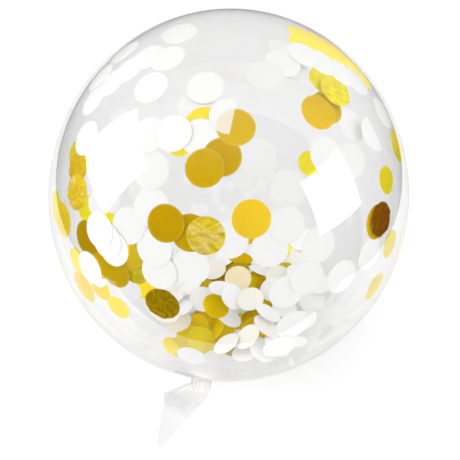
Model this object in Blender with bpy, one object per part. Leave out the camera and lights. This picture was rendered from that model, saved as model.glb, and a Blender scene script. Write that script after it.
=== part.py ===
# Clear bubble balloon with a short film tail, lying on a level surface with its neck turned down to the front.
# Metres, +Z up. The origin is the middle of the flat patch that the bubble lies on.
# The film is one sealed skin from the crown to the cut end of the tail, so it is one closed solid.

import math

import bmesh
import bpy
from mathutils import Matrix, Vector
from mathutils.geometry import interpolate_bezier

# Bubble: a ball drawn out a little along its neck, resting on a flat patch
BUBBLE_WIDTH = 0.400
BUBBLE_LENGTH = 0.414
RESTING_PATCH_WIDTH = 0.044

# Neck: the skin gathered in pleats to a narrow throat
SHOULDER_WIDTH = 0.064
SHOULDER_HEIGHT = 0.009
THROAT_WIDTH = 0.023
THROAT_LENGTH = 0.004
PLEAT_DEPTH = 0.0011
PLEAT_COUNT = 9

# Tail: the tube pressed flat, cut off slantwise. Its edges are measured from its middle line
TAIL_THICKNESS = 0.0020
LEFT_CORNER_REACH = 0.036
LEFT_CORNER_DOWN = 0.027
RIGHT_CORNER_REACH = 0.010
RIGHT_CORNER_DOWN = 0.030
POINT_WIDTH = 0.006
LYING_LENGTH = 0.034

# How it lies: angles below the level, and turned from the front (-Y) towards the left (-X)
NECK_FALL = math.radians(44.0)
NECK_TURN = math.radians(12.0)
TAIL_LANDING_REACH = 0.039
TAIL_LANDING_TURN = math.radians(55.0)
TAIL_TURN = math.radians(30.0)
STIFF_LENGTH = 0.016

# Fineness of the faceted skin
SIDES = 64
BUBBLE_BANDS = 30
SHOULDER_BANDS = 6
THROAT_BANDS = 1
FALLING_BANDS = 12
LYING_BANDS = 4

FILM_COLOUR = (0.93, 0.94, 0.95, 1.0)


def clear_scene():
    for old in list(bpy.data.objects):
        bpy.data.objects.remove(old, do_unlink=True)


def film_material():
    material = bpy.data.materials.new("clear_film")
    material.use_nodes = True
    shader = material.node_tree.nodes["Principled BSDF"]
    shader.inputs["Base Color"].default_value = FILM_COLOUR
    shader.inputs["Roughness"].default_value = 0.04
    shader.inputs["Metallic"].default_value = 0.0
    shader.inputs["Alpha"].default_value = 0.35
    return material


def level_direction(turn):
    return Vector((-math.sin(turn), -math.cos(turn), 0.0))


def eased(share):
    share = min(max(share, 0.0), 1.0)
    return share * share * (3.0 - 2.0 * share)


def neck_axis():
    """Direction from the bubble's middle to its neck."""
    return level_direction(NECK_TURN) * math.cos(NECK_FALL) + Vector((0.0, 0.0, -math.sin(NECK_FALL)))


def neck_frame():
    """Turns +Z to the neck's direction and +X level, to the balloon's left."""
    along = neck_axis()
    side = along.cross(Vector((0.0, 0.0, 1.0))).normalized()
    return Matrix((side, along.cross(side), along)).transposed()


def bubble_middle():
    """Middle of the bubble, with its resting patch centred on the origin."""
    half_width = BUBBLE_WIDTH / 2
    half_length = BUBBLE_LENGTH / 2
    axis = neck_axis()
    stretch = half_length**2 - half_width**2
    depth = math.sqrt(half_width**2 + stretch * axis.z**2)
    lowest = (Vector((0.0, 0.0, -half_width**2)) - axis * axis.z * stretch) / depth
    return -lowest * math.sqrt(1.0 - (RESTING_PATCH_WIDTH / BUBBLE_WIDTH) ** 2)


def gathered_ring(radius, depth):
    """Points round a pleated circle, in its own plane."""
    points = []
    for i in range(SIDES):
        angle = math.tau * i / SIDES
        reach = radius + depth * math.cos(PLEAT_COUNT * angle)
        points.append(Vector((reach * math.cos(angle), reach * math.sin(angle), 0.0)))
    return points


def neck_profile():
    """Distance along the neck's axis, radius and pleat depth of each ring from the bubble to the throat."""
    half_width = BUBBLE_WIDTH / 2
    half_length = BUBBLE_LENGTH / 2
    edge_angle = math.asin(SHOULDER_WIDTH / BUBBLE_WIDTH)
    profile = []
    for band in range(1, BUBBLE_BANDS + 1):
        angle = (math.pi - edge_angle) * band / BUBBLE_BANDS
        profile.append((-half_length * math.cos(angle), half_width * math.sin(angle), 0.0))

    start = Vector((half_length * math.cos(edge_angle), SHOULDER_WIDTH / 2, 0.0))
    end = Vector((half_length + SHOULDER_HEIGHT, THROAT_WIDTH / 2, 0.0))
    inward = Vector((half_length * math.sin(edge_angle), -half_width * math.cos(edge_angle), 0.0)).normalized()
    bend = (start.y - end.y) * 0.75
    curve = interpolate_bezier(
        start,
        start + inward * bend,
        end - Vector((SHOULDER_HEIGHT * 0.7, 0.0, 0.0)),
        end,
        SHOULDER_BANDS + 1,
    )
    for band, point in enumerate(curve[1:], start=1):
        profile.append((point.x, point.y, PLEAT_DEPTH * eased(band / SHOULDER_BANDS)))

    for band in range(1, THROAT_BANDS + 1):
        profile.append((end.x + THROAT_LENGTH * band / THROAT_BANDS, end.y, PLEAT_DEPTH))
    return profile


def throat_end():
    return bubble_middle() + neck_axis() * (BUBBLE_LENGTH / 2 + SHOULDER_HEIGHT + THROAT_LENGTH)


def tail_route():
    """Middle line of the tail: it falls from the throat, lands, and then lies straight."""
    start = throat_end()
    landing = Vector((start.x, start.y, TAIL_THICKNESS / 2))
    landing += level_direction(TAIL_LANDING_TURN) * TAIL_LANDING_REACH
    lying = level_direction(TAIL_TURN)
    route = interpolate_bezier(
        start,
        start + neck_axis() * STIFF_LENGTH,
        landing - lying * STIFF_LENGTH,
        landing,
        FALLING_BANDS + 1,
    )
    for band in range(1, LYING_BANDS + 1):
        route.append(landing + lying * LYING_LENGTH * band / LYING_BANDS)
    return route


def distances_along(route):
    distances = [0.0]
    for here, ahead in zip(route, route[1:]):
        distances.append(distances[-1] + (ahead - here).length)
    return distances


def edge_reach(down, length, corner_reach, corner_down):
    """How far a long edge of the tail lies from the middle line: out to its corner, then in to the point."""
    throat_reach = THROAT_WIDTH / 2
    if down < corner_down:
        return throat_reach + (corner_reach - throat_reach) * down / corner_down
    share = (down - corner_down) / (length - corner_down)
    return corner_reach + (POINT_WIDTH / 2 - corner_reach) * share


def tail_section(down, length):
    """Points round the tail at this distance from the throat, in their own plane: round at first, then flat."""
    left = edge_reach(down, length, LEFT_CORNER_REACH, LEFT_CORNER_DOWN)
    right = edge_reach(down, length, RIGHT_CORNER_REACH, RIGHT_CORNER_DOWN)
    flatness = eased(down / LEFT_CORNER_DOWN)
    half_thickness = THROAT_WIDTH / 2 + (TAIL_THICKNESS - THROAT_WIDTH) / 2 * flatness
    points = []
    for i in range(SIDES):
        angle = math.tau * i / SIDES
        pleat = PLEAT_DEPTH * (1.0 - flatness) * math.cos(PLEAT_COUNT * angle)
        reach = (left if math.cos(angle) > 0.0 else right) + pleat
        rise = math.sin(angle)
        pressed = min(max(rise * 4.0, -1.0), 1.0)
        height = (half_thickness + pleat) * (rise + (pressed - rise) * flatness)
        points.append(Vector((reach * math.cos(angle), height, 0.0)))
    return points


def tail_rings():
    """Rings across the tail, each level from side to side, turning from the neck's frame to flat on the surface."""
    route = tail_route()
    distances = distances_along(route)
    length = distances[-1]
    first_side = neck_frame().col[0]
    last_side = level_direction(TAIL_TURN).cross(Vector((0.0, 0.0, 1.0)))
    rings = []
    for i in range(1, len(route)):
        ahead = route[min(i + 1, len(route) - 1)]
        along = (ahead - route[i - 1]).normalized()
        if i >= FALLING_BANDS:
            along = level_direction(TAIL_TURN)
        side = first_side.lerp(last_side, eased(i / FALLING_BANDS)).normalized()
        up = along.cross(side).normalized()
        section = tail_section(distances[i], length)
        rings.append([route[i] + side * point.x + up * point.y for point in section])
    return rings


def skin_rings():
    """All the rings of the skin, from the crown to the end of the tail."""
    middle = bubble_middle()
    frame = neck_frame()
    rings = []
    for along, radius, depth in neck_profile():
        centre = Vector((0.0, 0.0, along))
        rings.append([middle + frame @ (centre + point) for point in gathered_ring(radius, depth)])
    return rings + tail_rings()


def close_end(mesh, ring, tip):
    """Closes an end of the skin with a fan of faces to one point."""
    point = mesh.verts.new(tip)
    for here, ahead in zip(ring, ring[1:] + ring[:1]):
        mesh.faces.new((here, ahead, point))


def build_envelope():
    mesh = bmesh.new()
    crown = bubble_middle() - neck_axis() * (BUBBLE_LENGTH / 2)
    rings = [[mesh.verts.new(point) for point in ring] for ring in skin_rings()]
    for ring, following in zip(rings, rings[1:]):
        for i in range(SIDES):
            j = (i + 1) % SIDES
            mesh.faces.new((ring[i], ring[j], following[j], following[i]))
    close_end(mesh, rings[0], crown)
    tail_end = sum((vert.co for vert in rings[-1]), Vector()) / SIDES
    close_end(mesh, rings[-1], tail_end)
    bmesh.ops.recalc_face_normals(mesh, faces=mesh.faces)

    data = bpy.data.meshes.new("balloon_envelope")
    mesh.to_mesh(data)
    mesh.free()
    data.shade_smooth()
    data.set_sharp_from_angle(angle=math.radians(40.0))
    data.materials.append(film_material())
    envelope = bpy.data.objects.new("balloon_envelope", data)
    bpy.context.collection.objects.link(envelope)
    return envelope


def resting_surface():
    """Block under the bubble whose top is the level that the bubble lies on."""
    half = RESTING_PATCH_WIDTH
    mesh = bmesh.new()
    bmesh.ops.create_cube(mesh, size=2 * half)
    bmesh.ops.translate(mesh, verts=mesh.verts, vec=(0.0, 0.0, -half))
    data = bpy.data.meshes.new("resting_surface")
    mesh.to_mesh(data)
    mesh.free()
    block = bpy.data.objects.new("resting_surface", data)
    bpy.context.collection.objects.link(block)
    block.hide_render = True
    block.display_type = "WIRE"
    return block


def flatten_patch(envelope):
    """Cuts the bubble level where it lies."""
    cut = envelope.modifiers.new("resting_patch", "BOOLEAN")
    cut.operation = "DIFFERENCE"
    cut.solver = "EXACT"
    cut.object = resting_surface()


clear_scene()
flatten_patch(build_envelope())
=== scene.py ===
# Clear bubble balloon with gold foil and white tissue confetti sealed inside.
# It lies on a pale floor, and the camera looks down on it from the front.
import math
import random

import bpy
import numpy
from mathutils import Matrix, Vector, noise
from mathutils.geometry import interpolate_bezier


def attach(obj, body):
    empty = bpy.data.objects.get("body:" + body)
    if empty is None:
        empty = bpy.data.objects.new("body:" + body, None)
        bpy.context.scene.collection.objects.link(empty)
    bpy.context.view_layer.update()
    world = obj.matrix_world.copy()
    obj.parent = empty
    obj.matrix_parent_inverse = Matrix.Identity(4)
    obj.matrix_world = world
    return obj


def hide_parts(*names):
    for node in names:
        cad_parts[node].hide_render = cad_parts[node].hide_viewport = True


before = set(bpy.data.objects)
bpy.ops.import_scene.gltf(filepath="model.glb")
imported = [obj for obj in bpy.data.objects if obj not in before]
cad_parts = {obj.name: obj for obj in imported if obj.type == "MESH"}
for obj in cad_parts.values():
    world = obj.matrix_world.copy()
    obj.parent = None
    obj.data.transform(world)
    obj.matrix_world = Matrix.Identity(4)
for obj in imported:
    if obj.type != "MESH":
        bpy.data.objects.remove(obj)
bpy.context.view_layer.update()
bpy.ops.object.select_all(action="DESELECT")
print("frame loaded")

# the film's own sizes in metres, as the frame has them
film = {
    "node": "balloon_envelope",
    "width": 0.400,
    "length": 0.414,
    "restingPatch": 0.044,
    "neckFall": math.radians(44.0),  # below the level
    "neckTurn": math.radians(12.0),  # from the front towards the left
    "wall": 0.0003,
    "smoothBelow": math.radians(50.0),
    "segments": 192,
    "rings": 72,
    "shoulderWidth": 0.064,
    "shoulderHeight": 0.009,
    "shoulderBend": 0.75,
    "shoulderFirm": 0.7,
    "throatWidth": 0.023,
    "throatLength": 0.004,
    "neckPleats": 15,
    "neckPleatDepth": 0.0010,
    "neckPleatSeed": 0.0,
    "skinPleats": 29,  # fine streaks that run out over the bubble
    "skinPleatDepth": 0.00045,
    "skinPleatReach": 0.085,
    "skinPleatSeed": 9.0,
    "pleatStray": 3.0,  # radians by which the gathers leave their even places
    "pleatStrayScale": 1.3,
    "pleatStrength": 0.65,
    "pleatVariety": 0.6,
    "pleatVarietyScale": 2.1,
    "pleatVarietySeed": 5.0,
    "shoulderSteps": 18,
    "throatSteps": 4,
    "fallingSteps": 34,
    "lyingSteps": 12,
    "stepHeight": 0.001,
}
# the tail is the tube pressed flat and cut off slantwise
tail = {
    "thickness": 0.0014,
    "leftReach": 0.036,
    "leftDown": 0.027,
    "rightReach": 0.010,
    "rightDown": 0.030,
    "pointWidth": 0.006,
    "lyingLength": 0.034,
    "landingReach": 0.039,
    "landingHeight": 0.001,
    "landingTurn": math.radians(55.0),
    "turn": math.radians(30.0),
    "stiffLength": 0.016,
    "flare": 0.62,  # below 1 the tail widens fastest near the throat
    "edgeTurn": 4.0,  # how sharply the pressed tube turns at its edges
    "pleatFade": 0.85,
    "foldHeight": 0.0008,
    "foldVariety": 0.6,
    "folds": ((210.0, 9.0, 3.0, 1.0), (470.0, 14.0, 8.0, 0.5)),  # across, down, seed and weight
    "lowest": 0.0004,
}


def levelDirection(turn):
    return Vector((-math.sin(turn), -math.cos(turn), 0.0))


def eased(share):
    share = min(max(share, 0.0), 1.0)
    return share * share * (3.0 - 2.0 * share)


def neckAxis():
    fall = film["neckFall"]
    return levelDirection(film["neckTurn"]) * math.cos(fall) - Vector((0.0, 0.0, math.sin(fall)))


def bubbleMiddle():
    # the bubble rests on a flat patch round the origin
    half, halfLong = film["width"] / 2, film["length"] / 2
    slope = neckAxis()
    stretch = halfLong ** 2 - half ** 2
    depth = math.sqrt(half ** 2 + stretch * slope.z ** 2)
    lowest = (Vector((0.0, 0.0, -half ** 2)) - slope * slope.z * stretch) / depth
    return -lowest * math.sqrt(1.0 - (film["restingPatch"] / film["width"]) ** 2)


axis = neckAxis()
middle = bubbleMiddle()
side = axis.cross(Vector((0.0, 0.0, 1.0))).normalized()
neckTurn = Matrix((side, axis.cross(side), axis)).transposed()  # turns +Z to the neck

# camera: it stands in front and above, level from side to side
view = {
    "elevation": math.radians(45.0),
    "distance": 0.8,  # from the bubble's middle
    "focalPixels": 698.0,
    "framePixels": 460,
    "middlePixel": (229.0, 197.2),  # where the bubble's middle shows
    "sensor": 36.0,
    "clipStart": 0.05,
}


def addCamera():
    away = Vector((0.0, -math.cos(view["elevation"]), math.sin(view["elevation"])))
    up = Vector((0.0, math.sin(view["elevation"]), math.cos(view["elevation"])))
    place = middle + away * view["distance"]
    perPixel = view["distance"] / view["focalPixels"]
    centre = view["framePixels"] / 2
    rightward = (centre - view["middlePixel"][0]) * perPixel
    downward = (centre - view["middlePixel"][1]) * perPixel
    target = middle + Vector((rightward, 0.0, 0.0)) - up * downward
    bpy.ops.object.camera_add(location=place, rotation=(target - place).to_track_quat("-Z", "Y").to_euler())
    camera = bpy.context.object
    camera.name = "camera"
    camera.data.sensor_width = view["sensor"]
    camera.data.lens = view["focalPixels"] / view["framePixels"] * view["sensor"]
    camera.data.clip_start = view["clipStart"]
    bpy.context.scene.camera = camera
    bpy.context.view_layer.update()
    return camera


camera = addCamera()


def pixelDirection(px, py):
    # direction from the camera through a pixel of the picture
    centre = view["framePixels"] / 2
    ray = Vector(((px - centre) / view["focalPixels"], (centre - py) / view["focalPixels"], -1.0))
    return (camera.matrix_world.to_3x3() @ ray).normalized()


def wallPoint(px, py, far, depth=0.0):
    # where that line meets the bubble, on the near or the far side, or a little inside it
    squash = Vector((1.0, 1.0, film["width"] / film["length"]))
    start = (neckTurn.transposed() @ (camera.matrix_world.translation - middle)) * squash
    ahead = (neckTurn.transposed() @ pixelDirection(px, py)) * squash
    half = film["width"] / 2 - depth
    a, b, c = ahead.dot(ahead), start.dot(ahead), start.dot(start) - half ** 2
    inside = max(b * b - a * c, 0.0)
    reach = (-b + math.sqrt(inside)) / a if far else (-b - math.sqrt(inside)) / a
    return camera.matrix_world.translation + pixelDirection(px, py) * reach


print("camera placed")


def feed(tree, node, values):
    # each socket takes a plain value or a link
    for socket, value in values.items():
        if isinstance(value, bpy.types.NodeSocket):
            tree.links.new(value, node.inputs[socket])
        else:
            node.inputs[socket].default_value = value
    return node


def addNode(tree, kind, values):
    return feed(tree, tree.nodes.new(kind), values)


def addMath(tree, operation, *values):
    node = tree.nodes.new("ShaderNodeMath")
    node.operation = operation
    return feed(tree, node, dict(enumerate(values))).outputs[0]


def addVectorMath(tree, operation, a, b):
    node = tree.nodes.new("ShaderNodeVectorMath")
    node.operation = operation
    return feed(tree, node, {0: a, 1: b}).outputs


def addNoise(tree, spot, scale, detail, distortion=0.0):
    values = {"Vector": spot, "Scale": scale, "Detail": detail, "Distortion": distortion}
    return addNode(tree, "ShaderNodeTexNoise", values).outputs["Fac"]


def mixColours(tree, share, a, b, blend="MIX"):
    node = tree.nodes.new("ShaderNodeMix")
    node.data_type = "RGBA"
    node.blend_type = blend
    return feed(tree, node, {"Factor": share, "A": a, "B": b}).outputs["Result"]


def mapRange(tree, value, start, end, low=0.0, high=1.0, way="LINEAR"):
    node = tree.nodes.new("ShaderNodeMapRange")
    node.interpolation_type = way
    values = {"Value": value, "From Min": start, "From Max": end, "To Min": low, "To Max": high}
    return feed(tree, node, values).outputs["Result"]


def newMaterial(name):
    material = bpy.data.materials.new(name)
    material.use_nodes = True
    return material, material.node_tree, material.node_tree.nodes["Principled BSDF"]


# lights: a broad soft key overhead, two square softboxes that mirror in the film, and three for the foil
studio = {
    "keyPlace": (0.15, -0.6, 2.4),
    "keySize": 2.2,
    "keyPower": 5.0,
    "boxDistance": 1.0,
    "boxRadiance": 7.5,
    "leftSoftbox": (-0.893, -0.039, 0.449),  # direction from the bubble's middle
    "leftSoftboxSize": (0.62, 0.63),
    "leftSoftboxRoll": math.radians(-3.0),
    "rightSoftbox": (0.846, -0.357, 0.396),
    "rightSoftboxSize": (0.54, 0.51),
    "rightSoftboxRoll": math.radians(-11.0),
    "foilPlace": (0.1, -1.3, 1.45),
    "foilSize": 2.2,
    "foilPower": 82.0,
    "crownPlace": (1.06, 1.04, 0.84),
    "crownSize": 0.9,
    "crownPower": 26.5,
    "leftPlace": (-1.05, -0.70, 0.25),
    "leftSize": 0.7,
    "leftPower": 4.2,
    "skyFront": (0.02, 0.02, 0.02, 1.0),
    "skyBehind": (0.65, 0.65, 0.6435, 1.0),
    "skyTurn": 0.6,  # from here on it is as pale as behind
    "fillLow": 0.80,
    "fillHigh": 0.66,
    "fillHeights": (-0.2, 0.8),
    "fillAside": 1.2,
    "fillSides": (0.2, 0.95),
    "fillMiddle": 0.10,  # where the fill from the sides is least
    "roomAhead": 0.72,
    "roomAside": 1.35,  # the softboxes light the room from the sides
    "paperWidth": 1.2,
    "paperFront": -0.38,
    "paperBack": 1.10,
    "paperLevel": -0.0002,
    "paperColour": (0.93, 0.93, 0.93, 1.0),
    "paperGrain": (0.9207, 0.9207, 0.9207, 1.0),
    "paperGrainScale": 3.0,
    "paperRoughness": 0.9,
    "paperShine": 0.1,
    "bounces": 24,
    "filmBounces": 20,
}


def addAreaLight(name, place, size, power, roll=0.0):
    bpy.ops.object.light_add(type="AREA", location=place)
    light = bpy.context.object
    light.name = name
    light.data.shape = "RECTANGLE"
    light.data.size, light.data.size_y = size
    light.data.energy = power
    facing = (middle - Vector(place)).to_track_quat("-Z", "Y")
    light.rotation_euler = (facing.to_matrix() @ Matrix.Rotation(roll, 3, "Z")).to_euler()
    light.visible_camera = False
    light.visible_transmission = False
    return light


def addSquareLight(word):
    size = studio[word + "Size"]
    return addAreaLight(word + "Light", studio[word + "Place"], (size, size), studio[word + "Power"])


def addSoftbox(word):
    place = middle + Vector(studio[word]).normalized() * studio["boxDistance"]
    size = studio[word + "Size"]
    power = studio["boxRadiance"] * math.pi * size[0] * size[1]
    light = addAreaLight(word, place, size, power, studio[word + "Roll"])
    light.visible_diffuse = False  # it only mirrors


def addSky():
    world = bpy.data.worlds.new("studioSky")
    bpy.context.scene.world = world
    world.use_nodes = True
    tree = world.node_tree
    direction = tree.nodes.new("ShaderNodeTexCoord").outputs["Generated"]

    # dark round the camera and at the sides, paler overhead and behind
    backward = addVectorMath(tree, "DOT_PRODUCT", direction, (0.0, 0.5, 0.5))["Value"]
    ramp = addNode(tree, "ShaderNodeValToRGB", {"Fac": backward})
    ramp.color_ramp.interpolation = "EASE"
    front, behind = ramp.color_ramp.elements
    front.position, behind.position = 0.0, studio["skyTurn"]
    front.color, behind.color = studio["skyFront"], studio["skyBehind"]

    # the film and the foil mirror the dark studio, and what shows through the film is an even white room
    path = tree.nodes.new("ShaderNodeLightPath").outputs
    toward = addNode(tree, "ShaderNodeSeparateXYZ", {0: direction}).outputs
    aside = addMath(tree, "ABSOLUTE", toward["X"])
    room = mapRange(tree, aside, 0.0, 1.0, studio["roomAhead"], studio["roomAside"])
    unmirrored = addMath(tree, "LESS_THAN", path["Glossy Depth"], 0.5)
    seen = mixColours(tree, unmirrored, ramp.outputs["Color"], room)

    # matt paper and tissue take their light from all round, and most from the sides
    fill = mapRange(tree, toward["Z"], *studio["fillHeights"], studio["fillLow"], studio["fillHigh"])
    fromMiddle = addMath(tree, "ABSOLUTE", addMath(tree, "SUBTRACT", toward["X"], studio["fillMiddle"]))
    fillAside = mapRange(tree, fromMiddle, *studio["fillSides"], 0.0, studio["fillAside"])
    filled = addMath(tree, "ADD", fill, fillAside)
    lit = mixColours(tree, path["Is Diffuse Ray"], seen, filled)
    feed(tree, tree.nodes["Background"], {"Strength": 1.0, "Color": lit})


def addFloor():
    # a sheet of paper just wider than the picture, so that the film's sides mirror the dark studio past it
    length = studio["paperBack"] - studio["paperFront"]
    centre = (0.0, studio["paperFront"] + length / 2, studio["paperLevel"])
    bpy.ops.mesh.primitive_plane_add(size=1.0, location=centre)
    floor = bpy.context.object
    floor.name = "floor"
    floor.scale = (studio["paperWidth"], length, 1.0)
    bpy.ops.object.transform_apply(location=True, rotation=False, scale=True)
    material, tree, shader = newMaterial("palePaper")
    grain = addNode(tree, "ShaderNodeTexNoise", {"Scale": studio["paperGrainScale"]}).outputs["Fac"]
    tint = mixColours(tree, grain, studio["paperColour"], studio["paperGrain"])
    feed(tree, shader, {"Roughness": studio["paperRoughness"], "Specular IOR Level": studio["paperShine"]})
    feed(tree, shader, {"Base Color": tint})
    floor.data.materials.append(material)


addSquareLight("key").visible_glossy = False
foilLights = [addSquareLight(word) for word in ("foil", "crown", "left")]
for light in foilLights:
    light.visible_diffuse = False  # they only shine in the foil
addSoftbox("leftSoftbox")
addSoftbox("rightSoftbox")
addSky()
addFloor()
bpy.context.scene.view_settings.view_transform = "Standard"
bpy.context.scene.cycles.max_bounces = studio["bounces"]
bpy.context.scene.cycles.transmission_bounces = studio["filmBounces"]
bpy.context.scene.cycles.transparent_max_bounces = studio["bounces"]
print("studio lit")


def neckProfile():
    # distance along the axis and radius of each ring, from the edge of the bubble to the throat
    half, halfLong = film["width"] / 2, film["length"] / 2
    edge = math.asin(film["shoulderWidth"] / film["width"])
    start = Vector((halfLong * math.cos(edge), film["shoulderWidth"] / 2, 0.0))
    end = Vector((halfLong + film["shoulderHeight"], film["throatWidth"] / 2, 0.0))
    inward = Vector((halfLong * math.sin(edge), -half * math.cos(edge), 0.0)).normalized()
    bend = (start.y - end.y) * film["shoulderBend"]
    firm = Vector((film["shoulderHeight"] * film["shoulderFirm"], 0.0, 0.0))
    curve = interpolate_bezier(start, start + inward * bend, end - firm, end, film["shoulderSteps"] + 1)
    steps = range(1, film["throatSteps"] + 1)
    throat = [end + Vector((film["throatLength"] * step / film["throatSteps"], 0.0, 0.0)) for step in steps]
    return curve + throat


def tailRoute():
    start = middle + axis * (film["length"] / 2 + film["shoulderHeight"] + film["throatLength"])
    landing = Vector((start.x, start.y, tail["landingHeight"]))
    landing += levelDirection(tail["landingTurn"]) * tail["landingReach"]
    lying = levelDirection(tail["turn"])
    stiff = tail["stiffLength"]
    route = interpolate_bezier(
        start, start + axis * stiff, landing - lying * stiff, landing, film["fallingSteps"] + 1
    )
    for step in range(1, film["lyingSteps"] + 1):
        route.append(landing + lying * tail["lyingLength"] * step / film["lyingSteps"])
    return route


def edgeReach(down, length, cornerReach, cornerDown):
    throat = film["throatWidth"] / 2
    if down < cornerDown:
        return throat + (cornerReach - throat) * (down / cornerDown) ** tail["flare"]
    share = (down - cornerDown) / (length - cornerDown)
    return cornerReach + (tail["pointWidth"] / 2 - cornerReach) * share


def roundNoise(angle, reach, seed):
    # noise that meets itself once round the neck
    return noise.noise(Vector((math.cos(angle) * reach, math.sin(angle) * reach, seed)))


def pleat(angle, count, seed):
    # uneven gathers round the neck
    stray = film["pleatStray"] * roundNoise(angle, film["pleatStrayScale"], seed)
    variety = roundNoise(angle, film["pleatVarietyScale"], seed + film["pleatVarietySeed"])
    return math.cos(count * angle + stray) * (film["pleatStrength"] + film["pleatVariety"] * variety)


def neckPleat(angle):
    return film["neckPleatDepth"] * pleat(angle, film["neckPleats"], film["neckPleatSeed"])


def tailPoint(route, distances, ring, angle):
    # round at the throat, then pressed flat, with folds that run down it
    length = distances[-1]
    down = distances[ring]
    lastSide = levelDirection(tail["turn"]).cross(Vector((0.0, 0.0, 1.0)))
    ahead = route[min(ring + 1, len(route) - 1)]
    along = (ahead - route[max(ring - 1, 0)]).normalized()
    if ring >= film["fallingSteps"]:
        along = levelDirection(tail["turn"])
    across = side.lerp(lastSide, eased(ring / film["fallingSteps"])).normalized()
    up = along.cross(across).normalized()
    flatness = eased(down / tail["leftDown"])
    left = edgeReach(down, length, tail["leftReach"], tail["leftDown"])
    right = edgeReach(down, length, tail["rightReach"], tail["rightDown"])
    gather = neckPleat(angle) * (1.0 - tail["pleatFade"] * flatness)
    reach = left if math.cos(angle) > 0.0 else right
    outward = (reach + gather * (1.0 - flatness)) * math.cos(angle)
    rise = math.sin(angle)
    pressed = min(max(rise * tail["edgeTurn"], -1.0), 1.0)
    halfThick = film["throatWidth"] / 2 + (tail["thickness"] - film["throatWidth"]) / 2 * flatness
    height = (halfThick + gather * (1.0 - flatness)) * (rise + (pressed - rise) * flatness)
    ridges = 0.0
    for fineAcross, fineDown, seed, weight in tail["folds"]:
        ridges += weight * noise.noise(Vector((outward * fineAcross, down * fineDown, seed)))
    lift = tail["foldHeight"] * flatness * (1.0 + tail["foldVariety"] * ridges)
    point = route[ring] + across * outward + up * (height + lift)
    point.z = max(point.z, tail["lowest"])
    return point


def neckPoint(spot, ring, profile, angle):
    # a point of the bubble or the neck, with the gathers and the streaks that run out from them
    if ring > 0:
        reach = profile[ring].y
        spot = Vector((math.cos(angle) * reach, math.sin(angle) * reach, profile[ring].x))
    radius = Vector((spot.x, spot.y, 0.0)).length
    if spot.z > 0.0 and radius > 1e-6:
        outward = Vector((spot.x, spot.y, 0.0)) / radius
        gathered = eased(ring / film["shoulderSteps"])
        streak = eased(1.0 - (radius - film["throatWidth"] / 2) / film["skinPleatReach"])
        fine = film["skinPleatDepth"] * pleat(angle, film["skinPleats"], film["skinPleatSeed"])
        fine = fine * streak ** 2 * (1.0 - gathered)
        spot += outward * (neckPleat(angle) * gathered) + spot.normalized() * fine
    return middle + neckTurn @ spot


def makeFilm():
    half, halfLong = film["width"] / 2, film["length"] / 2
    edge = math.asin(film["shoulderWidth"] / film["width"])
    level = halfLong * math.cos(edge)
    bpy.ops.mesh.primitive_uv_sphere_add(segments=film["segments"], ring_count=film["rings"], radius=half)
    piece = bpy.context.object
    piece.name = "filmEnvelope"
    bpy.ops.object.mode_set(mode="EDIT")
    bpy.ops.transform.resize(value=(1.0, 1.0, halfLong / half))
    bpy.ops.mesh.bisect(plane_co=(0.0, 0.0, level), plane_no=(0.0, 0.0, 1.0), clear_outer=True)
    bpy.ops.mesh.select_all(action="DESELECT")
    bpy.ops.mesh.select_non_manifold()
    profile = neckProfile()
    route = tailRoute()
    step = (0.0, 0.0, film["stepHeight"])
    for ring in range(len(profile) - 1 + len(route) - 1):
        bpy.ops.mesh.extrude_region_move(TRANSFORM_OT_translate={"value": step})
    bpy.ops.object.mode_set(mode="OBJECT")

    # the straight tube is gathered to the throat, and its lower part becomes the tail
    distances = [0.0]
    for here, ahead in zip(route, route[1:]):
        distances.append(distances[-1] + (ahead - here).length)
    for vertex in piece.data.vertices:
        spot = vertex.co.copy()
        angle = math.atan2(spot.y, spot.x)
        ring = round((spot.z - level) / film["stepHeight"]) if spot.z > level - 1e-5 else 0
        if ring < len(profile):
            vertex.co = neckPoint(spot, ring, profile, angle)
        else:
            vertex.co = tailPoint(route, distances, ring - len(profile) + 1, angle)
    return piece


def layFilmFlat(piece):
    # the skin is flat where it rests
    bpy.ops.object.select_all(action="DESELECT")
    piece.select_set(True)
    bpy.context.view_layer.objects.active = piece
    bpy.ops.object.mode_set(mode="EDIT")
    bpy.ops.mesh.select_all(action="SELECT")
    bpy.ops.mesh.bisect(plane_co=(0.0, 0.0, 0.0), plane_no=(0.0, 0.0, 1.0), use_fill=True, clear_inner=True)
    bpy.ops.object.mode_set(mode="OBJECT")


def thicken(piece, thickness, offset):
    bpy.context.view_layer.objects.active = piece
    bpy.ops.object.modifier_add(type="SOLIDIFY")
    sheet = piece.modifiers[-1]
    sheet.thickness = thickness
    sheet.offset = offset
    bpy.ops.object.modifier_apply(modifier=sheet.name)


# the film's finish; neck and tail are measured along the neck from the bubble's middle
filmLook = {
    "refraction": 1.5,
    "neck": (0.196, 0.216),
    "outlineShade": (0.45, 0.85),
    # painted shade: these tints make the film darker high up and grey where it is seen edge on
    "lowTint": (0.985, 0.985, 0.985, 1.0),
    "highShadeTint": (0.905, 0.905, 0.905, 1.0),
    "outlineShadeTint": (0.935, 0.935, 0.937, 1.0),
    "knot": (0.012, 0.034),  # from the middle of the throat
    "knotTint": (0.93, 0.92, 0.87, 1.0),
    "tailTint": (0.86, 0.86, 0.865, 1.0),
    "roughness": 0.004,
    "neckRoughness": 0.26,
    "tail": (0.200, 0.224),
    "tailCover": 0.35,
    "haze": (9.0, 3.0),  # scale and detail
    "crinkle": (75.0, 3.0),
    "crinkleStrength": 14.0,
    "rippleStrength": 0.05,
    "rippleDepth": 0.002,
    "passes": (0.997, 0.997, 0.997, 1.0),
}


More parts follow.
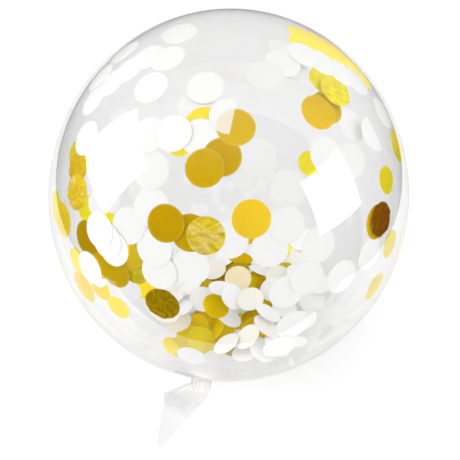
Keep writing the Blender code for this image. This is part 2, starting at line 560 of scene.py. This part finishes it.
def clearFilm():
    material, tree, shader = newMaterial("clearFilm")
    spot = tree.nodes.new("ShaderNodeTexCoord").outputs["Object"]

    # 0 on the bubble and 1 from the throat on
    fromMiddle = addVectorMath(tree, "SUBTRACT", spot, middle)["Vector"]
    alongNeck = addVectorMath(tree, "DOT_PRODUCT", fromMiddle, axis)["Value"]
    neckMask = mapRange(tree, alongNeck, *filmLook["neck"], way="SMOOTHSTEP")

    # painted shade: the film's tint is darker high up, and turns to a set grey where it is seen edge on
    height = addNode(tree, "ShaderNodeSeparateXYZ", {0: spot}).outputs["Z"]
    upward = mapRange(tree, height, 0.0, film["width"])
    body = mixColours(tree, upward, filmLook["lowTint"], filmLook["highShadeTint"])
    facing = tree.nodes.new("ShaderNodeLayerWeight").outputs["Facing"]
    outlineShade = mapRange(tree, facing, *filmLook["outlineShade"], way="SMOOTHSTEP")
    skin = mixColours(tree, outlineShade, body, filmLook["outlineShadeTint"])
    throat = middle + axis * (film["length"] / 2 + film["shoulderHeight"])
    fromThroat = addVectorMath(tree, "DISTANCE", spot, throat)["Value"]
    knot = mapRange(tree, fromThroat, *filmLook["knot"], way="SMOOTHSTEP")
    gathered = mixColours(tree, knot, filmLook["knotTint"], filmLook["tailTint"])
    tint = mixColours(tree, neckMask, skin, gathered)
    values = {"Factor": neckMask, "A": filmLook["roughness"], "B": filmLook["neckRoughness"]}
    blur = addNode(tree, "ShaderNodeMix", values).outputs["Result"]

    # the tail is so thin that it hardly shows
    cover = mapRange(tree, alongNeck, *filmLook["tail"], 1.0, filmLook["tailCover"], "SMOOTHSTEP")

    # the skin ripples a little, and the neck and the tail are crinkled
    haze = addNoise(tree, spot, *filmLook["haze"])
    crinkle = addMath(tree, "MULTIPLY", addNoise(tree, spot, *filmLook["crinkle"]), neckMask)
    relief = addMath(tree, "MULTIPLY_ADD", crinkle, filmLook["crinkleStrength"], haze)
    values = {"Strength": filmLook["rippleStrength"], "Distance": filmLook["rippleDepth"], "Height": relief}
    ripple = addNode(tree, "ShaderNodeBump", values).outputs["Normal"]
    feed(tree, shader, {"Metallic": 0.0, "IOR": filmLook["refraction"], "Transmission Weight": 1.0})
    feed(tree, shader, {"Base Color": tint, "Roughness": blur, "Alpha": cover, "Normal": ripple})

    # light passes the film on its way to the confetti and the floor
    path = tree.nodes.new("ShaderNodeLightPath").outputs
    through = addNode(tree, "ShaderNodeBsdfTransparent", {"Color": filmLook["passes"]}).outputs[0]
    values = {0: path["Is Shadow Ray"], 1: shader.outputs[0], 2: through}
    lit = addNode(tree, "ShaderNodeMixShader", values).outputs[0]
    values = {0: path["Is Diffuse Ray"], 1: lit, 2: through}
    shown = addNode(tree, "ShaderNodeMixShader", values).outputs[0]
    feed(tree, tree.nodes["Material Output"], {"Surface": shown})
    return material


envelope = makeFilm()
layFilmFlat(envelope)
thicken(envelope, film["wall"], -1.0)
bpy.ops.object.shade_smooth_by_angle(angle=film["smoothBelow"])
envelope.data.materials.append(clearFilm())
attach(envelope, "root")
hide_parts(film["node"])

# the lights on the foil don't mirror in the film
unlit = bpy.data.collections.new("notByFoilLight")
unlit.objects.link(envelope)
unlit.collection_objects[0].light_linking.link_state = "EXCLUDE"
for light in foilLights:
    light.light_linking.receiver_collection = unlit
print("film made, faces:", len(envelope.data.polygons))

# confetti: thin round discs, cut once and laid on the inside of the film one by one
confetti = {
    "radius": 0.0175,
    "sides": 24,
    "fineSides": 32,
    "fineCuts": 9,
    "foldedCuts": 5,
    "thickness": 0.00010,
    "smoothBelow": math.radians(40.0),
    "gap": 0.0004,  # between the film and the first disc
    "layerStep": 0.00032,
    "touching": 2.05,  # radii between the middles of two discs that may touch
    "curl": 0.0012,
    "crease": 0.25,  # where a folded disc ends, in radii from its middle
    "paintedEdgeBand": (0.90, 0.97),  # where the painted edge light and shade starts and where it is full, in radii
    "foldedTone": 0.2,
    "dents": 0.0009,
    "broadDents": 2.0,
    "dentScale": 110.0,
    "fineDents": 2.3,
    "dentShift": 50.0,
    "foldWarm": 0.75,  # how warm a fold shows over gold
    "seed": 7,
}
dice = random.Random(confetti["seed"])


def cutDisc(name, sides, cuts):
    bpy.ops.object.select_all(action="DESELECT")
    bpy.ops.mesh.primitive_circle_add(vertices=sides, radius=confetti["radius"], fill_type="TRIFAN")
    disc = bpy.context.object
    disc.name = name
    if cuts:
        bpy.ops.object.mode_set(mode="EDIT")
        bpy.ops.mesh.subdivide(number_cuts=cuts, smoothness=0.0)
        bpy.ops.object.mode_set(mode="OBJECT")
    return disc


def foldOver(disc):
    # a disc with one side turned over: it ends in a straight edge
    bpy.ops.object.mode_set(mode="EDIT")
    bpy.ops.mesh.select_all(action="SELECT")
    crease = confetti["crease"] * confetti["radius"]
    bpy.ops.mesh.bisect(plane_co=(crease, 0.0, 0.0), plane_no=(1.0, 0.0, 0.0), clear_outer=True)
    bpy.ops.object.mode_set(mode="OBJECT")


plainDisc = cutDisc("plainDisc", confetti["sides"], 0)
thicken(plainDisc, confetti["thickness"], 0.0)
fineDisc = cutDisc("fineDisc", confetti["fineSides"], confetti["fineCuts"])
thicken(fineDisc, confetti["thickness"], 0.0)
foldedDisc = cutDisc("foldedDisc", confetti["fineSides"], confetti["foldedCuts"])
foldOver(foldedDisc)
thicken(foldedDisc, confetti["thickness"], 0.0)


def copyDisc(master, name, toneAndPaintedLight, warm=0.0, polish=0.0, crumple=0.0, paintedEdgeShown=1.0):
    # each copy has its own mesh, and carries its own shade
    disc = bpy.data.objects.new(name, master.data.copy())
    bpy.context.collection.objects.link(disc)
    for word, value in {"toneAndPaintedLight": toneAndPaintedLight, "warm": warm, "polish": polish, "crumple": crumple}.items():
        shade = disc.data.attributes.new(word, "FLOAT", "POINT")
        shade.data.foreach_set("value", [value] * len(disc.data.vertices))
    rim = disc.data.attributes.new("rim", "FLOAT", "POINT")
    outward = [paintedEdgeShown * vertex.co.xy.length / confetti["radius"] for vertex in disc.data.vertices]
    rim.data.foreach_set("value", outward)
    return disc


# wall discs, in the order that they lie from the film inwards
laid = []


def wallLayer(spot, thick):
    # a disc lies under every earlier one that reaches it; a creased disc takes several layers
    reach = confetti["touching"] * confetti["radius"]
    taken = [layer for other, layer in laid if (other - spot).length < reach]
    layer = max(taken) + 1 if taken else 0
    laid.append((spot, layer + math.ceil(thick / confetti["layerStep"])))
    return layer


def skinFrame(spot):
    # the skin's own point and outward normal nearest to a point
    half, halfLong = film["width"] / 2, film["length"] / 2
    squash = Vector((1.0, 1.0, half / halfLong))
    unit = ((neckTurn.transposed() @ (spot - middle)) * squash).normalized()
    onSkin = Vector((unit.x * half, unit.y * half, unit.z * halfLong))
    normal = Vector((unit.x / half, unit.y / half, unit.z / halfLong)).normalized()
    return middle + neckTurn @ onSkin, (neckTurn @ normal).normalized()


def layOnWall(disc, px, py, far, spin, curl, crinkle):
    layer = wallLayer(wallPoint(px, py, far), confetti["broadDents"] * crinkle)
    depth = film["wall"] + confetti["gap"] + confetti["layerStep"] * layer
    spot, normal = skinFrame(wallPoint(px, py, far, depth))
    level = normal.cross(Vector((0.0, 0.0, 1.0))).normalized()
    upward = level.cross(normal)
    across = level * math.cos(spin) + upward * math.sin(spin)
    along = normal.cross(across)
    bend = dice.uniform(0.0, math.pi)
    scale = confetti["dentScale"]
    for vertex in disc.data.vertices:
        x, y, z = vertex.co
        onSkin, out = skinFrame(spot + across * x + along * y)
        lift = curl * ((x * math.cos(bend) + y * math.sin(bend)) / confetti["radius"]) ** 2
        if crinkle:
            # sharp folds where the noise turns back on itself
            field = Vector((x * scale + spin, y * scale, spot.x * confetti["dentShift"]))
            broad = confetti["broadDents"] * abs(noise.noise(field))
            lift += crinkle * (broad + abs(noise.noise(field * confetti["fineDents"])))
        vertex.co = onSkin - out * (depth + lift - z)


def joinDiscs(discs, name, material):
    bpy.ops.object.select_all(action="DESELECT")
    for disc in discs:
        disc.select_set(True)
    bpy.context.view_layer.objects.active = discs[0]
    bpy.ops.object.join()
    piece = bpy.context.object
    piece.name = name
    piece.data.materials.clear()
    piece.data.materials.append(material)
    bpy.ops.object.shade_smooth_by_angle(angle=confetti["smoothBelow"])
    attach(piece, "root")
    print(name, "laid, discs:", len(discs))
    return piece


def readShade(tree, word):
    node = tree.nodes.new("ShaderNodeAttribute")
    node.attribute_name = word
    return node.outputs["Fac"]


def paintedEdgeGroup():
    # painted edge light and shade: a band along the rim of a disc
    group = bpy.data.node_groups.new("paintedEdge", "ShaderNodeTree")
    group.interface.new_socket("Strength", in_out="INPUT", socket_type="NodeSocketFloat")
    group.interface.new_socket("Band", in_out="OUTPUT", socket_type="NodeSocketFloat")
    strength = group.nodes.new("NodeGroupInput").outputs["Strength"]
    band = mapRange(group, readShade(group, "rim"), *confetti["paintedEdgeBand"], 0.0, strength)
    addNode(group, "NodeGroupOutput", {"Band": band})
    return group


edgeGroup = paintedEdgeGroup()


def paintedEdge(tree, strength):
    node = tree.nodes.new("ShaderNodeGroup")
    node.node_tree = edgeGroup
    return feed(tree, node, {"Strength": strength}).outputs["Band"]


# painted light and shade: a gold disc's tone sets how bright its gold shows, listed per disc on the wall and
# on top of the heap to how lit or shaded it is, and at random in the heap's fill
foilLook = {
    "darkest": (0.24, 0.05, 0.0005, 1.0),  # at tone 0
    "brightest": (1.0, 0.88, 0.04, 1.0),  # at tone 1
    "between": {0.5: (0.82, 0.57, 0.004, 1.0), 0.8: (1.0, 0.70, 0.04, 1.0)},
    "grazing": (0.84, 0.74, 0.27, 1.0),
    "blotch": (90.0, 4.0),  # scale and detail
    "worn": (0.90, 0.86, 0.80, 1.0),
    "patch": (60.0, 1.0),  # painted highlights: pale patches on crumpled foil
    "patchFrom": (0.48, 0.62),
    "patchCover": 0.5,
    "patchColour": (1.0, 0.80, 0.30, 1.0),
    "paintedEdgeColour": (1.0, 0.86, 0.30, 1.0),
    "paintedEdgeStrength": 0.15,
    "satin": 0.45,
    "polished": 0.10,
    "wrinkle": (130.0, 3.0, 1.0),
    "wrinkleDepth": 0.0017,
    "blotchRelief": 0.06,
}


def goldFoil():
    material, tree, shader = newMaterial("goldFoil")
    spot = tree.nodes.new("ShaderNodeTexCoord").outputs["Object"]
    # painted light and shade: the tone picks each disc's gold from dark brown to bright yellow
    ramp = addNode(tree, "ShaderNodeValToRGB", {"Fac": readShade(tree, "toneAndPaintedLight")})
    stops = ramp.color_ramp.elements
    stops[0].color, stops[1].color = foilLook["darkest"], foilLook["brightest"]
    for toneAndPaintedLight, colour in foilLook["between"].items():
        stops.new(toneAndPaintedLight).color = colour
    blotch = addNoise(tree, spot, *foilLook["blotch"])
    worn = mixColours(tree, blotch, ramp.outputs["Color"], foilLook["worn"], "MULTIPLY")
    # painted highlight: pale patches on crumpled foil, as much as its warm value says
    patch = addNoise(tree, spot, *foilLook["patch"])
    patchy = mapRange(tree, patch, *foilLook["patchFrom"], 0.0, foilLook["patchCover"])
    where = addMath(tree, "MULTIPLY", patchy, readShade(tree, "warm"))
    patched = mixColours(tree, where, worn, foilLook["patchColour"])
    # painted highlight: a paler yellow band along the rim of each gold disc
    edged = mixColours(tree, paintedEdge(tree, foilLook["paintedEdgeStrength"]), patched, foilLook["paintedEdgeColour"])
    sheen = mapRange(tree, readShade(tree, "polish"), 0.0, 1.0, foilLook["satin"], foilLook["polished"])

    # crumpled foil is wrinkled all over
    wrinkle = addNoise(tree, spot, *foilLook["wrinkle"])
    crumpled = addMath(tree, "MULTIPLY", wrinkle, readShade(tree, "crumple"))
    relief = addMath(tree, "MULTIPLY_ADD", blotch, foilLook["blotchRelief"], crumpled)
    values = {"Strength": 1.0, "Distance": foilLook["wrinkleDepth"], "Height": relief}
    dent = addNode(tree, "ShaderNodeBump", values).outputs["Normal"]
    feed(tree, shader, {"Metallic": 1.0, "Specular Tint": foilLook["grazing"]})
    feed(tree, shader, {"Base Color": edged, "Roughness": sheen, "Normal": dent})
    return material


tissueLook = {
    "white": (0.965, 0.965, 0.96, 1.0),
    "warm": (0.92, 0.80, 0.53, 1.0),  # where gold shines through
    "toneAndShadeGrey": (0.90, 0.90, 0.90, 1.0),
    "pulp": (0.965, 0.965, 0.96, 1.0),
    "paintedEdgeColour": (0.80, 0.80, 0.79, 1.0),
    "paintedEdgeStrength": 0.35,
    "fibre": (420.0, 5.0),
    "nap": 0.0002,
    "napStrength": 0.3,
    "roughness": 0.85,
    "shine": 0.2,
}


def whiteTissue():
    material, tree, shader = newMaterial("whiteTissue")
    spot = tree.nodes.new("ShaderNodeTexCoord").outputs["Object"]
    fibre = addNoise(tree, spot, *tissueLook["fibre"])
    tint = mixColours(tree, readShade(tree, "warm"), tissueLook["white"], tissueLook["warm"])
    # painted shade: the tone greys a tissue disc, listed on the wall to how shaded it shows, at random in
    # the heap
    toneAndShadeGrey = mixColours(tree, readShade(tree, "toneAndPaintedLight"), tint, tissueLook["toneAndShadeGrey"], "MULTIPLY")
    pulp = mixColours(tree, fibre, toneAndShadeGrey, tissueLook["pulp"], "MULTIPLY")
    # painted shade: a grey band along the rim of each tissue disc
    edged = mixColours(tree, paintedEdge(tree, tissueLook["paintedEdgeStrength"]), pulp, tissueLook["paintedEdgeColour"])
    values = {"Strength": tissueLook["napStrength"], "Distance": tissueLook["nap"], "Height": fibre}
    nap = addNode(tree, "ShaderNodeBump", values).outputs["Normal"]
    feed(tree, shader, {"Roughness": tissueLook["roughness"], "Specular IOR Level": tissueLook["shine"]})
    feed(tree, shader, {"Base Color": edged, "Normal": nap})
    return material


# each disc on the wall: its kind, the pixel of its middle in the picture, and its shade; for gold and tissue
# that is a tone with painted light and shade, for cream how warm it is
# those nearest to the film come first; for a folded one the last number turns the crease, in degrees
nearWall = [
    ("folded", 228.5, 115.5, 191.0), ("gold", 204.5, 168, 0.40), ("gold", 236, 127, 0.45),
    ("gold", 222, 157, 0.36), ("crumpled", 205.5, 236, 0.88), ("gold", 165.5, 223.5, 0.35),
    ("gold", 190, 233, 0.40), ("gold", 251.5, 219, 0.75), ("tissue", 173, 133, 0.1),
    ("tissue", 200, 137, 0.1), ("tissue", 150.5, 87, 0.0), ("tissue", 205, 87, 0.1),
    ("gold", 204, 124.5, 0.95), ("tissue", 196, 104, 0.6), ("tissue", 258, 157, 1.0),
    ("tissue", 148, 135, 0.5), ("tissue", 151, 170, 0.7), ("tissue", 151, 207, 0.6),
    ("tissue", 180.5, 34, 0.0), ("tissue", 177.5, 31.5, 0.1), ("tissue", 167.5, 58, 0.1),
    ("tissue", 147, 57, 0.0), ("tissue", 129, 69, 0.0), ("tissue", 112, 82, 0.0),
    ("tissue", 124.5, 52, 0.0), ("tissue", 100.5, 77, 0.0), ("tissue", 93, 100, 0.0),
    ("tissue", 86, 138, 0.1), ("leaf", 99, 230.5, 0.0), ("leaf", 106.5, 241, 0.0),
    ("leaf", 113, 248.5, 0.0), ("tissue", 128, 226, 0.9), ("tissue", 154, 249, 0.7),
    ("tissue", 159, 272, 0.7), ("crumpled", 76, 192, 0.85), ("creased", 77, 167, 0.6),
    ("gold", 63, 220, 0.9), ("gold", 56, 207, 1.0), ("gold", 84, 287, 0.9), ("tissue", 89.5, 268, 0.0),
    ("gold", 87, 238, 0.35), ("gold", 99, 262, 0.5), ("gold", 115, 271, 0.6), ("gold", 129, 251, 0.85),
    ("creased", 134, 267, 0.95), ("creased", 162, 304.5, 0.36), ("cream", 162.5, 309, 0.45),
    ("tissue", 191, 267, 0.6), ("tissue", 170, 268, 0.6), ("tissue", 304, 54, 0.0),
    ("tissue", 322, 62, 0.0), ("tissue", 341, 72, 0.0), ("tissue", 356, 81, 0.0), ("gold", 305, 44, 1.0),
    ("gold", 320, 49, 1.0), ("gold", 332, 54.5, 1.0), ("gold", 303, 34, 0.92), ("gold", 318, 39.5, 0.92),
    ("gold", 333, 47.5, 0.94), ("gold", 350, 63, 0.96), ("gold", 361, 76, 0.98), ("creased", 336, 90, 1.0),
    ("creased", 325, 81, 1.0), ("gold", 318.5, 112, 0.46), ("gold", 327, 107.5, 0.46),
    ("tissue", 265, 75, 0.7), ("tissue", 283, 63, 0.3), ("tissue", 291, 67, 0.3),
    ("folded", 373, 134, 197.0), ("tissue", 383, 112, 0.0), ("tissue", 352, 125, 0.5),
    ("tissue", 327, 155, 0.3), ("tissue", 353, 160, 0.5), ("gold", 397.5, 146, 1.0),
    ("creased", 382, 219.5, 0.05), ("gold", 377, 222, 0.5), ("gold", 403, 238, 1.0), ("gold", 396, 262, 1.0),
    ("gold", 384, 289, 0.8), ("tissue", 370, 254, 0.2), ("tissue", 342, 277, 0.1),
    ("tissue", 319, 245, 0.4), ("tissue", 307, 278, 0.4), ("tissue", 287, 225, 0.5),
    ("tissue", 288, 189, 0.8), ("tissue", 270, 249, 0.4), ("tissue", 229, 240, 0.5),
    ("tissue", 287, 292, 0.3), ("tissue", 280, 347, 0.2), ("tissue", 293, 325, 0.2),
]
farWall = [
    ("gold", 180, 144.5, 1.0), ("gold", 309.5, 163, 1.0), ("gold", 387, 180, 1.0),
    ("gold", 390.5, 244, 1.0), ("gold", 375, 287, 1.0), ("gold", 86, 208, 1.0), ("gold", 108, 224, 1.0),
    ("gold", 77, 261, 1.0), ("gold", 100, 288, 0.7), ("gold", 118, 307.5, 0.75), ("gold", 76, 152, 1.0),
    ("gold", 146, 289, 0.9), ("tissue", 120, 120, 0.5), ("tissue", 245, 180, 0.9),
    ("tissue", 330, 205, 0.5), ("tissue", 140, 190, 0.5), ("tissue", 110, 200, 0.3),
    ("tissue", 95, 240, 0.0), ("tissue", 112, 246, 0.0), ("tissue", 140, 240, 0.5),
    ("tissue", 96, 275, 0.0), ("tissue", 130, 290, 0.2), ("tissue", 100, 250, 0.0),
    ("tissue", 275, 230, 0.5), ("tissue", 180, 240, 0.5), ("tissue", 281, 48, 0.5),
    ("tissue", 97, 203, 0.0),
]
warmPixel = (236, 127)  # the gold that shines through the first fold
# crumpled foil's warm value sets its painted highlight patches
dentedFoil = {
    "creased": {"polish": 0.12, "crumple": 0.3},
    "crumpled": {"warm": 1.0, "polish": 0.12, "crumple": 0.7},
}


def warmUnder(disc):
    # a thin fold shows warm where gold lies under it
    gold = wallPoint(*warmPixel, False)
    near = [(vertex.co - gold).length < confetti["radius"] for vertex in disc.data.vertices]
    warmth = disc.data.attributes["warm"]
    warmth.data.foreach_set("value", [confetti["foldWarm"] if over else 0.0 for over in near])


def wallDisc(kind, number):
    # the disc, and how deep its dents are
    if kind == "gold":
        return copyDisc(plainDisc, "foil", number), 0.0
    if kind in dentedFoil:
        return copyDisc(fineDisc, "foil", number, **dentedFoil[kind]), confetti["dents"]
    if kind == "folded":
        return copyDisc(foldedDisc, "tissue", confetti["foldedTone"]), 0.0
    if kind == "leaf":
        # several lie so close that they show as one, so they carry no painted edge shade
        return copyDisc(plainDisc, "tissue", number, paintedEdgeShown=0.0), 0.0
    if kind == "cream":
        return copyDisc(plainDisc, "tissue", 0.0, warm=number), 0.0
    return copyDisc(plainDisc, "tissue", number), 0.0


def layWallConfetti():
    gold, tissue = [], []
    listed = [disc + (far,) for wall, far in ((nearWall, False), (farWall, True)) for disc in wall]
    spots = [wallPoint(px, py, far) for kind, px, py, number, far in listed]
    reach = confetti["touching"] * confetti["radius"]
    for (kind, px, py, number, far), spot in zip(listed, spots):
        disc, crinkle = wallDisc(kind, number)
        spin = math.radians(number) if kind == "folded" else dice.uniform(0.0, math.tau)
        # only a disc with no others round it curls
        near = sum((other - spot).length < reach for other in spots)
        curl = confetti["curl"] * dice.random() if near == 1 else 0.0
        layOnWall(disc, px, py, far, spin, curl, crinkle)
        (gold if disc.name.startswith("foil") else tissue).append(disc)
    warmUnder(tissue[0])
    return gold, tissue


# the heap at the bottom: its surface is a grid of heights that each disc settles on
heap = {
    "cell": 0.002,
    "halfWidth": 0.170,
    "middle": (0.012, 0.020),
    "spread": 0.052,
    "furthest": 0.100,
    "fillCount": 90,
    "goldShare": 0.35,
    "goldTo": 0.035,  # loose gold lies to the left of this
    "fillTones": (0.3, 0.8),
    "fillWarm": 0.4,
    "topTone": 0.5,
    "clearance": 0.00035,
    "steepest": 0.7,
    "lean": 0.3,
    "tries": 4,
    "bends": (-0.6, 2.5),  # how far a disc bends up and down to what is under it
    "reach": 1.03,
    "highest": 0.1,
    "searchFrom": 0.003,  # inside the near wall
    "searchStep": 0.001,
    "corrections": 6,
    "correction": 0.6,
    # the discs on top by pixel, in the order that they are laid; the last number is a gold disc's tone with
    # painted light and shade, and a tissue disc's warmth
    "top": [
        ("gold", 202, 289, 0.7), ("gold", 240, 258, 0.4), ("gold", 287.5, 270, 1.0),
        ("gold", 294, 247, 1.0), ("gold", 176, 349, 0.9), ("gold", 262, 337, 0.6), ("gold", 257, 284, 0.5),
        ("gold", 254, 316, 0.6), ("gold", 252, 326, 0.7), ("gold", 264, 304, 0.5), ("gold", 222, 330, 0.6),
        ("gold", 212, 328, 0.55), ("gold", 200, 322, 0.65), ("gold", 196, 328, 0.6),
        ("gold", 190, 339, 0.9), ("gold", 201, 340, 0.9), ("gold", 237, 272, 0.5),
        ("tissue", 262, 271, 0.0), ("tissue", 238, 278, 1.0), ("tissue", 301, 257, 0.2),
        ("tissue", 302, 240, 0.0), ("tissue", 279, 278, 0.3), ("tissue", 297, 277, 0.1),
        ("tissue", 187, 301, 0.1), ("tissue", 190, 288, 0.1), ("tissue", 203, 301, 0.15),
        ("tissue", 229, 317, 0.1), ("gold", 216, 306, 0.5), ("tissue", 222, 290, 0.0),
        ("tissue", 233, 297, 0.0), ("tissue", 250, 301, 0.25), ("tissue", 285, 308, 0.0),
        ("tissue", 304, 320, 0.0), ("tissue", 246, 352, 0.0), ("tissue", 262, 350, 0.0),
        ("tissue", 277, 346, 0.0), ("tissue", 293, 342, 0.0), ("tissue", 247, 337, 0.3),
        ("tissue", 266, 326, 0.2), ("tissue", 226, 345, 0.2), ("tissue", 178, 322, 0.6),
        ("tissue", 191, 356, 0.0), ("tissue", 312, 299, 0.0), ("tissue", 213, 268, 0.4),
        ("tissue", 179, 308, 0.0), ("tissue", 172, 300, 0.1), ("tissue", 320, 285, 0.0),
        ("tissue", 268, 313, 0.05), ("tissue", 273, 291, 0.1),
    ],
}


def emptyHeap():
    # the inside of the film below, as a height for each cell
    count = round(2 * heap["halfWidth"] / heap["cell"]) + 1
    line = numpy.linspace(-heap["halfWidth"], heap["halfWidth"], count)
    x, y = numpy.meshgrid(line, line, indexing="ij")
    inner = film["width"] / 2 - film["wall"] - confetti["gap"]
    turned = numpy.array(neckTurn)
    scale = numpy.diag([inner ** -2, inner ** -2, (inner * film["length"] / film["width"]) ** -2])
    form = turned @ scale @ turned.T
    px, py = x - middle.x, y - middle.y
    a = form[2, 2]
    b = form[0, 2] * px + form[1, 2] * py
    c = form[0, 0] * px ** 2 + 2 * form[0, 1] * px * py + form[1, 1] * py ** 2 - 1.0
    low = middle.z + (-b - numpy.sqrt(numpy.maximum(b * b - a * c, 0.0))) / a
    return x, y, numpy.maximum(low, film["wall"] + confetti["gap"])


cellX, cellY, heights = emptyHeap()


def heightAt(x, y):
    i = round((x + heap["halfWidth"]) / heap["cell"])
    j = round((y + heap["halfWidth"]) / heap["cell"])
    return heights[min(max(i, 0), heights.shape[0] - 1), min(max(j, 0), heights.shape[1] - 1)]


def restOn(x, y, lean):
    # the slope, bend and height at which a disc lies on what is under it
    dx, dy = cellX - x, cellY - y
    flat = dx ** 2 + dy ** 2
    under = flat < confetti["radius"] ** 2
    terms = numpy.stack([numpy.ones(under.sum()), dx[under], dy[under], flat[under]], axis=1)
    fitted = numpy.linalg.lstsq(terms, heights[under], rcond=None)[0]
    slope = Vector((fitted[1] + lean[0], fitted[2] + lean[1]))
    if slope.length > heap["steepest"]:
        slope *= heap["steepest"] / slope.length
    bend = min(max(fitted[3], heap["bends"][0]), heap["bends"][1])
    rise = slope.x * dx + slope.y * dy
    covered = flat + rise ** 2 < (confetti["radius"] * heap["reach"]) ** 2
    rest = (heights - rise - bend * flat)[covered].max() + heap["clearance"]
    top = (rest + rise + bend * flat)[covered] + confetti["thickness"]
    return rest, slope, bend, covered, top


def heapPoint(px, py):
    # the place at which a disc that rests on the heap shows at this pixel
    ahead = pixelDirection(px, py)
    spot = wallPoint(px, py, True)
    reach = (spot - wallPoint(px, py, False)).length - heap["searchFrom"]
    while reach > 0.0:
        trial = spot - ahead * reach
        inside = abs(trial.x) < heap["halfWidth"] and abs(trial.y) < heap["halfWidth"]
        if inside and trial.z < heightAt(trial.x, trial.y) and trial.z < heap["highest"]:
            spot = trial
            break
        reach -= heap["searchStep"]
    eye = camera.matrix_world.translation
    for step in range(heap["corrections"]):
        rest = restOn(spot.x, spot.y, (0.0, 0.0))[0]
        spot = spot.lerp(eye + ahead * ((rest - eye.z) / ahead.z), heap["correction"])
    return spot.x, spot.y


def settle(disc, x, y, lean):
    # the disc sinks until it touches what is under it, bends a little to it, and is then part of the heap
    rest, slope, bend, covered, top = restOn(x, y, lean)
    heights[covered] = numpy.maximum(heights[covered], top)
    along = Vector((1.0, 0.0, slope.x)).normalized()
    out = Vector((-slope.x, -slope.y, 1.0)).normalized()
    across = out.cross(along)
    spin = dice.uniform(0.0, math.tau)
    for vertex in disc.data.vertices:
        u = vertex.co.x * math.cos(spin) - vertex.co.y * math.sin(spin)
        v = vertex.co.x * math.sin(spin) + vertex.co.y * math.cos(spin)
        level = along * u + across * v
        lift = bend * (level.x ** 2 + level.y ** 2)
        vertex.co = Vector((x, y, rest + lift)) + level + out * vertex.co.z
    return disc


def someLean():
    way = dice.uniform(0.0, math.tau)
    amount = heap["lean"] * dice.random() ** 2
    return amount * math.cos(way), amount * math.sin(way)


def fillPlace():
    # the lowest of a few chance places, as loose discs slide down
    places = []
    for number in range(heap["tries"]):
        reach = min(abs(dice.gauss(0.0, heap["spread"])), heap["furthest"])
        way = dice.uniform(0.0, math.tau)
        x = heap["middle"][0] + reach * math.cos(way)
        y = heap["middle"][1] + reach * math.sin(way)
        lean = someLean()
        places.append((restOn(x, y, lean)[0], x, y, lean))
    return min(places)[1:]


def heapConfetti():
    gold, tissue = [], []
    for number in range(heap["fillCount"]):
        x, y, lean = fillPlace()
        if dice.random() < heap["goldShare"] and x < heap["goldTo"]:
            disc = copyDisc(plainDisc, "foil", dice.uniform(*heap["fillTones"]), polish=dice.random() ** 2)
            gold.append(settle(disc, x, y, lean))
        else:
            disc = copyDisc(plainDisc, "tissue", dice.random(), warm=heap["fillWarm"] * dice.random() ** 2)
            tissue.append(settle(disc, x, y, lean))
    for kind, px, py, number in heap["top"]:
        x, y = heapPoint(px, py)
        if kind == "gold":
            disc = copyDisc(plainDisc, "foil", number, polish=dice.random() ** 2)
            gold.append(settle(disc, x, y, someLean()))
        else:
            disc = copyDisc(plainDisc, "tissue", heap["topTone"] * dice.random(), warm=number)
            tissue.append(settle(disc, x, y, someLean()))
    return gold, tissue


goldMaterial = goldFoil()
tissueMaterial = whiteTissue()
goldInHeap, tissueInHeap = heapConfetti()
goldHeapPiece = joinDiscs(goldInHeap, "goldHeapConfetti", goldMaterial)
joinDiscs(tissueInHeap, "tissueHeapConfetti", tissueMaterial)
goldOnWall, tissueOnWall = layWallConfetti()
goldWallPiece = joinDiscs(goldOnWall, "goldWallConfetti", goldMaterial)
joinDiscs(tissueOnWall, "tissueWallConfetti", tissueMaterial)

# the foil throws no cast on the floor, the tissue and the film
for foil in (goldHeapPiece, goldWallPiece):
    foil.visible_diffuse = False
    foil.visible_glossy = False

for master in (plainDisc, fineDisc, foldedDisc):
    bpy.data.objects.remove(master, do_unlink=True)
